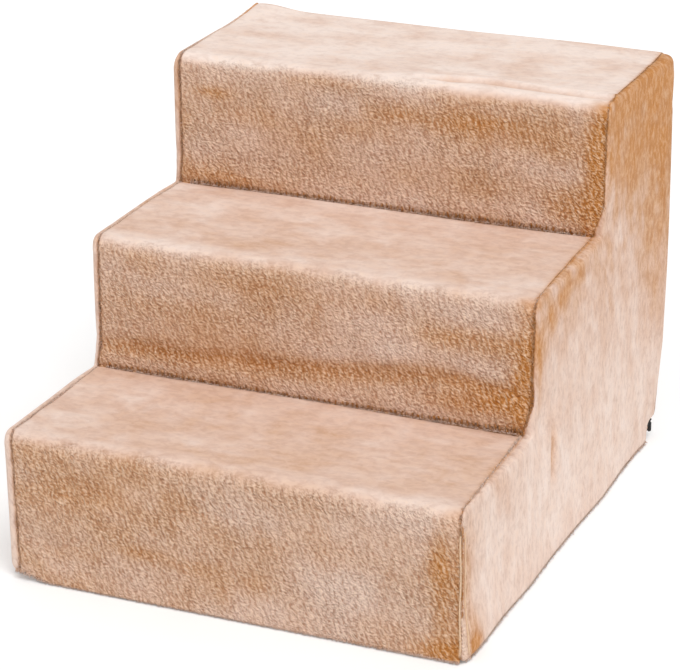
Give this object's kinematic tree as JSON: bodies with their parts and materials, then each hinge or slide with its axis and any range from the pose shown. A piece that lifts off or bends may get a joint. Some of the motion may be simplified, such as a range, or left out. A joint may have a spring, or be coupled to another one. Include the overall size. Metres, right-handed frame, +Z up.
{
  "type": "pet stairs",
  "caption": "Three-step pet stairs: a knock-down plastic frame of boards, side frames and cross tubes inside a fitted plush cover with a corner zip.",
  "frame": {"origin": "on the floor, in the middle of the footprint", "axes": "+X to the right across the steps, +Y the climbing direction from front to back, +Z up"},
  "size_m": [0.37, 0.455, 0.34],
  "materials": {
    "plush": "matte",
    "frame_plastic": "satin",
    "tube_paint": "satin",
    "foot_rubber": "matte",
    "zip_tape": "matte",
    "zip_coil": "satin",
    "zip_metal": "gloss"
  },
  "bodies": {
    "frame": {"side_frame_left": "frame_plastic", "side_frame_right": "frame_plastic", "tread_board_lower": "frame_plastic", "tread_board_middle": "frame_plastic", "tread_board_top": "frame_plastic", "riser_board_lower": "frame_plastic", "riser_board_middle": "frame_plastic", "riser_board_upper": "frame_plastic", "back_board_lower": "frame_plastic", "back_board_upper": "frame_plastic", "cross_tube_front": "tube_paint", "cross_tube_middle": "tube_paint", "cross_tube_rear": "tube_paint", "tube_pins": "frame_plastic", "foot_front_left": "foot_rubber", "foot_front_right": "foot_rubber", "foot_rear_left": "foot_rubber", "foot_rear_right": "foot_rubber"},
    "cover": {"cover_step_strip": "plush", "cover_side_left": "plush", "cover_side_right": "plush", "cover_back": "plush", "zip_tape_side": "zip_tape", "zip_tape_back": "zip_tape", "zip_coil_side": "zip_coil", "zip_coil_back": "zip_coil", "zip_top_stop": "zip_coil", "zip_bottom_stops": "zip_coil"},
    "zip_slider": {"zip_slider": "zip_metal"},
    "zip_pull": {"zip_pull": "zip_metal"}
  },
  "joints": [
    {"name": "cover_lift", "type": "slide", "parent": "frame", "child": "cover", "axis": [0, 0, 1], "range_m": [0, 0.36]},
    {"name": "zip_slide", "type": "slide", "parent": "cover", "child": "zip_slider", "axis": [0, 0, 1], "range_m": [0, 0.267]},
    {"name": "zip_pull_swing", "type": "hinge", "parent": "zip_slider", "child": "zip_pull", "pos_m": [0.18191, 0.22441, 0.0165], "axis": [0.7071, -0.7071, 0], "range_deg": [0, 165]}
  ]
}
